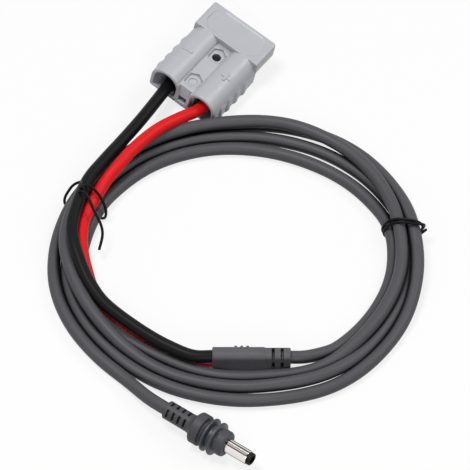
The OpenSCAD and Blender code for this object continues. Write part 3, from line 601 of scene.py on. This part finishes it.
def arch_outline(radius, corner):
    """Arch outlines about the pole: a half circle above, straight sides, and a flat bottom with round corners.
    Each point is a sum of the radius, the radius less the corner, and the corner, in fixed directions."""
    a = np.linspace(0, math.pi, 65)
    s = np.linspace(0, 1, 14)[1:-1]
    q = np.linspace(0, math.pi / 2, 7)
    f = np.linspace(-1, 1, 24)[1:-1]
    parts = [
        (np.cos(a), np.sin(a), 0 * a, 0 * a, 0 * a, 0 * a),
        (-1 + 0 * s, 0 * s, 0 * s, -s, 0 * s, 0 * s),
        (0 * q, 0 * q, -1 + 0 * q, -1 + 0 * q, np.cos(q + math.pi), np.sin(q + math.pi)),
        (0 * f, -1 + 0 * f, f, 0 * f, 0 * f, 0 * f),
        (0 * q, 0 * q, 1 + 0 * q, -1 + 0 * q, np.cos(q + 1.5 * math.pi), np.sin(q + 1.5 * math.pi)),
        (1 + 0 * s, 0 * s, 0 * s, -s[::-1], 0 * s, 0 * s),
    ]
    rx, ry, bx, by, cx, cy = (np.concatenate([p[i] for p in parts]) for i in range(6))
    r, c = (np.asarray(v, float)[:, None] for v in (radius, corner))
    return r * rx + (r - c) * bx + c * cx, r * ry + (r - c) * by + c * cy


def rear_slope(height):
    """How far the rear face between the barrels lies in from the rear end at a height."""
    return (BEHIND_WEB - REAR) * np.clip((height - WALL) / (CHANNEL_H - WALL), 0, 1)


def barrel(side):
    """One wire barrel: an arch carried from the end of the chamber to the rear, around the round rim, and back
    over the outside to the hood. Finger ribs swell the outer wall, the channel wall is upright, and the rear
    slopes in towards the channel like the face between the barrels."""
    q = np.linspace(0, math.pi / 2, 6)
    skin = np.arange(REAR + 0.8, CAVITY, 0.22)
    y = np.concatenate([[7.0, REAR + 0.5], REAR + 0.5 - 0.5 * np.sin(q), REAR + 0.7 - 0.7 * np.cos(q), skin])
    r = np.concatenate([[CHAMBER_R, CHAMBER_R], CHAMBER_R + 0.5 * (1 - np.cos(q)),
                        BARREL_R - 0.7 + 0.7 * np.sin(q), BARREL_R + 0 * skin])
    share = (r - CHAMBER_R) / (BARREL_R - CHAMBER_R)
    x, up = arch_outline(r, 0.8 + 0.7 * share)
    out = side * x
    depth = y[:, None] + 0 * x
    height = up + BARREL_R
    outside = (r > 7.2)[:, None]
    ribs = sum(np.sqrt(np.clip(1 - ((depth - place) / RIB_HALF) ** 2, 0, 1)) for place in RIB_PLACES)
    swell = smooth_step(5.5, 7.6, out) * smooth_step(0.6, 1.6, height) * (1 - smooth_step(8.5, 11.5, height))
    x = x + outside * side * RIB_RISE * ribs * swell
    across = side * POLE + x
    inward = side * across
    slope = rear_slope(height) * smooth_step(6.4, 8, -out) * (1 - smooth_step(CHANNEL_H, 15, height))
    depth = depth + slope * (1 - np.clip((depth - REAR) / 6, 0, 1))
    upright = np.maximum(inward, CHANNEL_HALF)
    across = np.where(outside & (height > CHANNEL_H) & (out < 0), side * upright, across)
    return leaned(close_ends(np.stack([across, depth, height], -1)))


def round_reach(turn, radius):
    """Distance from the middle to a circle, the same in each direction."""
    return radius + 0 * turn


def hexagon_reach(turn, half):
    """Distance from the middle to a hexagon's side in each direction, with a corner to the front."""
    off = (turn + math.pi / 6) % (math.pi / 3) - math.pi / 6
    return half / np.cos(off)


def oblong_reach(turn, half, ahead, behind):
    """Distance from a middle to an oblong's side, in each direction."""
    c, s = np.abs(np.cos(turn)), np.sin(turn)
    far = np.where(s > 0, ahead, behind)
    return np.minimum(half / np.maximum(c, 1e-6), far / np.maximum(np.abs(s), 1e-6))


def channel_tile(middle, ahead, behind, through):
    """Part of the channel floor: outlines around one screw place, from the hole through the six-sided pocket
    to the oblong floor, and down around its sides."""
    turn = TAU * np.arange(240) / 240
    floor_h, pocket_h = CHANNEL_H, CHANNEL_H - 1.2
    edge = 0.4
    rows = []
    if through:
        rows += [(oblong_reach(turn, TILE_HALF, ahead, behind), 0.05), (round_reach(turn, HOLE_R + 0.3), 0.05),
                 (round_reach(turn, HOLE_R), 0.35), (round_reach(turn, HOLE_R), pocket_h - 0.2)]
    else:
        rows += [(round_reach(turn, 0.01), pocket_h - 0.6), (round_reach(turn, HOLE_R - 0.15), pocket_h - 0.6),
                 (round_reach(turn, HOLE_R), pocket_h - 0.5), (round_reach(turn, HOLE_R), pocket_h - 0.15)]
    rows += [(round_reach(turn, HOLE_R + 0.18), pocket_h), (hexagon_reach(turn, HEX_HALF - 0.13), pocket_h),
             (hexagon_reach(turn, HEX_HALF), pocket_h + 0.12), (hexagon_reach(turn, HEX_HALF), floor_h - 0.1),
             (hexagon_reach(turn, HEX_HALF + 0.07), floor_h)]
    for bend in np.radians([0, 30, 60, 90]):
        grown = edge * (math.sin(bend) - 1)
        rows.append((oblong_reach(turn, TILE_HALF, ahead, behind + grown), floor_h - edge * (1 - math.cos(bend))))
    rows += [(oblong_reach(turn, TILE_HALF, ahead, behind), floor_h - 0.8),
             (oblong_reach(turn, TILE_HALF, ahead, behind - 0.6), floor_h - 0.8),
             (oblong_reach(turn, TILE_HALF, ahead, behind - 0.6), 0.05)]
    if through:
        rows.append((oblong_reach(turn, TILE_HALF, ahead, behind), 0.05))
    else:
        rows.append((round_reach(turn, 0.01), 0.05))
    reach = np.stack([row[0] for row in rows])
    height = np.array([row[1] for row in rows])[:, None] + 0 * reach
    grid = np.stack([reach * np.cos(turn), middle + reach * np.sin(turn), height], -1)
    return leaned(grid if through else close_ends(grid))


def web_face():
    """The rear face between the chambers: oblong outlines drawn in to the mouth of the slot and down to its end,
    all shifted by the slope of the rear."""
    y = np.array([5.0, 0.9, 0.6, 0.08, 0, 0, 0.15, 0.5, 3.5]) + REAR - 0.03
    half_w = np.array([2.9, 2.9, 2.9, 2.87, 2.8, 2.2, 2.05, 2.0, 1.95])
    low = np.array([0.05, 0.05, 0.05, 0.1, 0.2, 2.4, 2.55, 2.6, 2.65])
    high = np.array([10.4, 10.4, 12.3, 12.25, 12.1, 6.0, 5.85, 5.8, 5.75])
    x, z = rounded_oblong(half_w, (high - low) / 2, 0 * y + 0.3, (8, 24, 4))
    z = z + ((high + low) / 2)[:, None]
    return leaned(close_ends(np.stack([x, y[:, None] + rear_slope(z), z], -1)))


def hood_wall(half_w, top, radius, low):
    """One side of the hood's wall: up from its lower edge, around a corner, over the top, around the other corner
    and down. One row for each size."""
    q = np.linspace(0, math.pi / 2, 7)
    rise, over = np.linspace(0, 1, 9)[:-1], np.linspace(-1, 1, 122)[1:-1]
    w, t, r, e = (np.asarray(v, float)[:, None] for v in (half_w, top, radius, low))
    climb = e + (t - r - e) * rise
    bend = w - r + r * np.cos(q)
    x = np.concatenate([-w + 0 * climb, -bend, (w - r) * over, bend[:, ::-1], w + 0 * climb], 1)
    crown = t - r + r * np.sin(q)
    z = np.concatenate([climb, crown, t + 0 * r * over, crown[:, ::-1], climb[:, ::-1]], 1)
    return x, z


def hood_side(depth, radius):
    """Half the hood's width at each depth, with a front corner that is round as seen from above."""
    run = np.clip(depth - (FRONT - radius), 0, radius)
    return HOOD_HALF - radius + np.sqrt(radius ** 2 - run ** 2)


def hood():
    """The hood, open below and in front: the outside and the inside of its wall carried from the lip to the front,
    round at the edges, and drawn together in the middle of the wall at both ends. Seen from above its right front
    corner is round and its left one nearly square, and a shallow panel is set in its top."""
    q = np.linspace(0, math.pi / 2, 6)
    skin = np.concatenate([np.arange(HOOD + 0.5, 22, 0.24), 22 + 1.7 * np.sin(np.radians([0, 12, 24, 36, 50, 66]))])
    y = np.concatenate([[HOOD], HOOD + 0.4 * (1 - np.cos(q)), skin, FRONT - 0.3 * (1 - np.sin(q)), [FRONT]])
    inset = np.concatenate([[0.9], 0.4 * (1 - np.sin(q)), 0 * skin, 0.3 * (1 - np.cos(q)), [0.9]])
    out_x, out_z = hood_wall(HOOD_HALF - inset, HOOD_TOP - inset, 1.5 - inset, HOOD_LOW + inset / 2)
    in_x, in_z = hood_wall(HOOD_HALF - WALL + inset, HOOD_TOP - WALL + inset, 0.75 - inset / 6,
                           HOOD_LOW + inset / 2)
    depth = y[:, None] + 0 * out_x
    aside, ahead = np.abs(out_x) - PANEL_CORE_W, np.abs(depth - PANEL_AT) - PANEL_CORE_L
    beyond = np.hypot(np.maximum(aside, 0), np.maximum(ahead, 0)) + np.minimum(np.maximum(aside, ahead), 0)
    out_z = out_z - PANEL_DEEP * (1 - smooth_step(4.85, 5.1, beyond)) * (out_z > HOOD_TOP - 0.5)
    x = np.concatenate([out_x, in_x[:, ::-1]], 1)
    z = np.concatenate([out_z, in_z[:, ::-1]], 1)
    depth = np.concatenate([depth, depth], 1)
    x = np.clip(x, -hood_side(depth, 0.5), hood_side(depth, 2.0))
    return leaned(np.stack([x, depth, z], -1))


def polarity_mark(place, y, both):
    """A raised bar across the barrel, and for plus a second one along it, bent to the barrel's crest."""
    sizes = [(MARK_LONG, MARK_WIDE), (MARK_WIDE, MARK_LONG)] if both else [(MARK_LONG, MARK_WIDE)]
    bars = [rounded_block((place - w, y - d, MARK_LOW), (place + w, y + d, MARK_HIGH), MARK_EDGE) for w, d in sizes]
    pole = math.copysign(POLE, place)
    for bar in bars:
        drop = BARREL_R - np.sqrt(BARREL_R ** 2 - np.clip(bar[..., 0] - pole, -5, 5) ** 2)
        bar[..., 2] -= drop
    return [leaned(bar) for bar in bars]


housing_grids = [barrel(-1), barrel(1), channel_tile(2.0, 6.6, 8.8, True), channel_tile(-16.5, 9.8, 5.6, False),
                 web_face(), hood(),
                 leaned(rounded_block((-9, REAR, 0.03), (9, -16, WALL), 0.35)),
                 leaned(rounded_block((-17.85, HOOD + 0.02, HOOD_LOW), (17.85, CAVITY, 15.6), 0.1)),
                 leaned(rounded_block((-1.5, 8.5, HOOD_LOW), (1.5, 22, 15.1), 0.3))]
for middle in (-POLE, POLE):
    left, right = middle - TONGUE_HALF, middle + TONGUE_HALF
    housing_grids += [leaned(rounded_block((left, 0, 0.9), (right, 8.5, TONGUE_TOP), 0.3)),
                      leaned(rounded_block((left, 8, 2.2), (right, 19.7, TONGUE_TOP), 0.4))]
housing_grids += polarity_mark(POLE + MARK_OUT, MARK_AT, True) + polarity_mark(-POLE - MARK_OUT, MARK_AT, False)
make_piece("connector_shell", housing_grids, shell_grey,
           ["connector_housing"], sharp=38)


# Splitter

# Half thickness, half height and corner radius of the block, and how far it lies towards the viewer
BLOCK_HALF_T, BLOCK_HALF_H, BLOCK_R, BLOCK_NEAR = 3.5, 6.05, 2.8, 0.8
ROUND_IN, ROUND_OUT = 0.7, 0.6
RELIEF_SLOTS, SLOT_HALF, SLOT_EDGE, SIDE_DEEP, FLAT_DEEP = (9.55, 13.5), 0.6, 0.07, 2.2, 2.4
BUMP_PLACES, BUMP_HALF, BUMP_RISE = (-6.9, -4.3, -1.7), 0.7, 0.55


def splitter_body():
    """The splitter: an oblong outline carried along its axis, round at both ends and at the shoulder.
    Small ribs go over its top on the far side, and slots are sunk in all four sides of its relief."""
    q = np.linspace(0, math.pi / 2, 7)
    x = np.concatenate([-SPLITTER_END + ROUND_IN * (1 - np.cos(q)), np.arange(-16.4, 4.6, 0.16),
                        4.65 + 1.6 * np.sin(q), np.arange(6.4, 16.6, 0.1), SPLITTER_END - ROUND_OUT * (1 - np.sin(q))])
    shoulder = smooth_step(5.2, 6.4, x)
    end = np.minimum(np.clip((x + SPLITTER_END) / ROUND_IN, 0, 1), np.clip((SPLITTER_END - x) / ROUND_OUT, 0, 1))
    inset = 0.5 * shoulder + 0.65 * (1 - np.sqrt(np.clip(1 - (1 - end) ** 2, 0, 1)))
    y, z = rounded_oblong(BLOCK_HALF_T - 0.6 * inset, BLOCK_HALF_H - inset, BLOCK_R - inset, (60, 60, 30))
    along = x[:, None] + 0 * y
    slots = sum(window(along - place, SLOT_HALF, SLOT_EDGE) for place in RELIEF_SLOTS)
    side = slots * window(z + 0.4, 2.2, 0.1) * smooth_step(1.2, 2.0, np.abs(y))
    flat = slots * window(y + 0.5, 2.7, 0.1) * smooth_step(3.4, 4.2, np.abs(z))
    bumps = sum(np.sqrt(np.clip(1 - ((along - place) / BUMP_HALF) ** 2, 0, 1)) for place in BUMP_PLACES)
    bumps = BUMP_RISE * bumps * smooth_step(0.3, 1.2, y) * smooth_step(2.5, 3.5, z)
    y = y - SIDE_DEEP * np.sign(y) * side + 0.7 * bumps - BLOCK_NEAR
    z = z - FLAT_DEEP * np.sign(z) * flat + bumps
    return in_splitter(close_ends(np.stack([along, y, z + BLOCK_HALF_H], -1)))


splitter = make_piece("splitter_block", [splitter_body()], moulding_grey, ["splitter"], sharp=50)


# Plug

PLUG_SLOTS, PLUG_SLOT_HALF, PLUG_SLOT_DEEP = (2.5, 5.5, 8.5, 11.5), 0.5, 1.5
PLUG_SLOT_TURN, PLUG_SLOT_REACH = math.radians(148), math.radians(30)


def plug_body():
    """The plug moulding: a profile turned about its axis, with four rows of slots sunk in its relief."""
    profile = finer([[0, 3.0], [0.05, 3.85], [0.4, 4.25], [13.2, 4.3], [14.2, 4.7], [15.0, 5.6], [15.5, 6.5],
                     [16.1, 7.2], [16.6, 7.3], [19.9, 7.3], [20.2, 7.1], [20.3, 6.6], [20.35, 5.6], [21.25, 5.3],
                     [21.3, 4.8], [28.5, 4.8], [28.55, 5.6], [28.8, 5.95], [31.6, 5.95], [32.4, 5.6],
                     [32.7, 5.0], [32.7, 2.9]], 0.15)
    turn = TAU * np.arange(200) / 200
    x, r = profile[:, :1] + 0 * turn, profile[:, 1:] + 0 * turn
    row = (turn - PLUG_SLOT_TURN + math.pi / 4) % (math.pi / 2) - math.pi / 4
    slots = sum(window(x - place, PLUG_SLOT_HALF, 0.08) for place in PLUG_SLOTS)
    r = r - PLUG_SLOT_DEEP * slots * window(row, PLUG_SLOT_REACH, 0.03)
    return close_ends(np.stack([x, r * np.cos(turn), r * np.sin(turn)], -1) + PLUG_AT)


def plug_seal_profile():
    """Two thin ribs with a deep groove between them, on a band around the core."""
    rib = np.array([[-1.0, 5.5], [-0.85, 5.9], [-0.62, 7.3], [-0.45, 7.75], [0, 7.9], [0.45, 7.75], [0.62, 7.3],
                    [0.85, 5.9], [1.0, 5.5]])
    return np.vstack([[[21.35, 4.9], [21.35, 5.3], [21.5, 5.4]], rib + [23.2, 0], [[25.1, 5.4]], rib + [27.0, 0],
                      [[28.3, 5.4], [28.45, 5.3], [28.45, 4.9]]])


plug_moulding = make_piece("plug_body", [plug_body()], plug_grey, ["plug_moulding"])
plug_seal = make_piece("plug_ring_seal", [turned(plug_seal_profile(), PLUG_AT, 96)], seal_rubber,
                       ["plug_seal"])
sleeve_profile = [[32.74, 2.55], [32.74, 3.1], [32.9, 3.25], [43.6, 3.25], [43.85, 3.18], [44.0, 3.0],
                  [44.0, 2.86], [34.4, 2.86], [33.4, 2.55]]
plug_sleeve = make_piece("plug_barrel", [turned(finer(sleeve_profile, 0.8), PLUG_AT, 72)], plug_nickel,
                         ["plug_sleeve"])
tip_profile = [[36.3, 2.0], [36.3, 2.8], [44.05, 2.8], [44.05, 2.9], [45.4, 2.9], [45.75, 2.78], [45.9, 2.5],
               [45.9, 2.2], [45.7, 2.0]]
plug_insulator = make_piece("plug_tip", [turned(finer(tip_profile, 0.8), PLUG_AT, 72)], insulator_black,
                            ["plug_insulator"])


# Ties: each row is a radius, a height and a step along the turn

TIE_R = 0.65
LEFT_LOOP = np.array([
    [74.6, 19, 2.2], [76.4, 18.9, 0.6], [77.8, 17.6, -2.2], [79, 15.6, -3.8], [81.2, 13.6, -4], [83, 12, -2.9],
    [84.4, 9.4, -1.1], [85.7, 5.4, 0.4], [85.4, 2, 1.1], [83, 0.7, 1.2], [75, 0.7, 1], [67.2, 0.7, 1], [65, 3.4, 1.2],
    [65.2, 8, 0.4], [68, 12.8, -0.9], [71.2, 16.6, -1.3], [74, 18.5, -1.2], [76.4, 18.8, 0.6], [77.4, 18, 2.4],
    [76, 18.9, 3.6], [72.6, 18.7, 4], [67.6, 16, 8.2], [62, 12, 12.2], [59.6, 9, 15.6], [58.5, 6, 21.7]
])
RIGHT_LOOP = np.array([
    [84.9, 7.4, -5.2], [85.2, 10.2, -6], [83.7, 12.5, -6.9], [80.3, 13.5, -6.4], [74.4, 13.4, -4],
    [70.9, 11.4, -2.3], [68.8, 8.2, -1.4], [67.7, 4.4, -0.9], [68.7, 1.4, -1.3], [71.4, 0.7, -2.3],
    [79.2, 0.7, -5.4], [81.5, 2.2, -6.2], [82.7, 6, -6.6], [84.2, 9.7, -6.8], [83.3, 12.4, -6.2],
    [80.3, 13.6, -4.8], [74.4, 13.5, -2.2], [70.8, 11.5, -0.6], [68.7, 8.3, 0.4], [67.6, 4.4, 0.9],
    [68.6, 1.4, 0.5], [71.4, 0.7, -0.8], [79.2, 0.7, -4.2], [82, 2.4, -5.4], [84.4, 5.6, -6.2], [85.6, 8.6, -7.4]
])


def make_tie(name, node, loop, turn):
    """A tie: a thin round profile carried along its loop."""
    path = smooth_route(on_coil(loop[:, 0], turn, loop[:, 1], loop[:, 2]), step=0.5, soften=3)
    level = np.array([-math.sin(math.radians(turn)), math.cos(math.radians(turn)), 0.1])
    grid, straight = tube(path, TIE_R, 12, level)
    return make_piece(name, [grid], tie_black, [node], straight)


left_tie = make_tie("left_wire_tie", "left_tie", LEFT_LOOP, LEFT_TIE)
right_tie = make_tie("right_wire_tie", "right_tie", RIGHT_LOOP, RIGHT_TIE)


# Metal solids that keep their shape

for node, material in (("contact_negative", plating), ("contact_positive", plating),
                       ("spring_negative", spring_steel), ("spring_positive", spring_steel),
                       ("conductor_negative", copper), ("conductor_positive", copper),
                       ("splice_negative", plating), ("splice_positive", plating),
                       ("plug_centre_contact", plug_nickel)):
    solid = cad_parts[node]
    solid.data.materials.clear()
    solid.data.materials.append(material)


bpy.context.scene.view_settings.view_transform = "Standard"
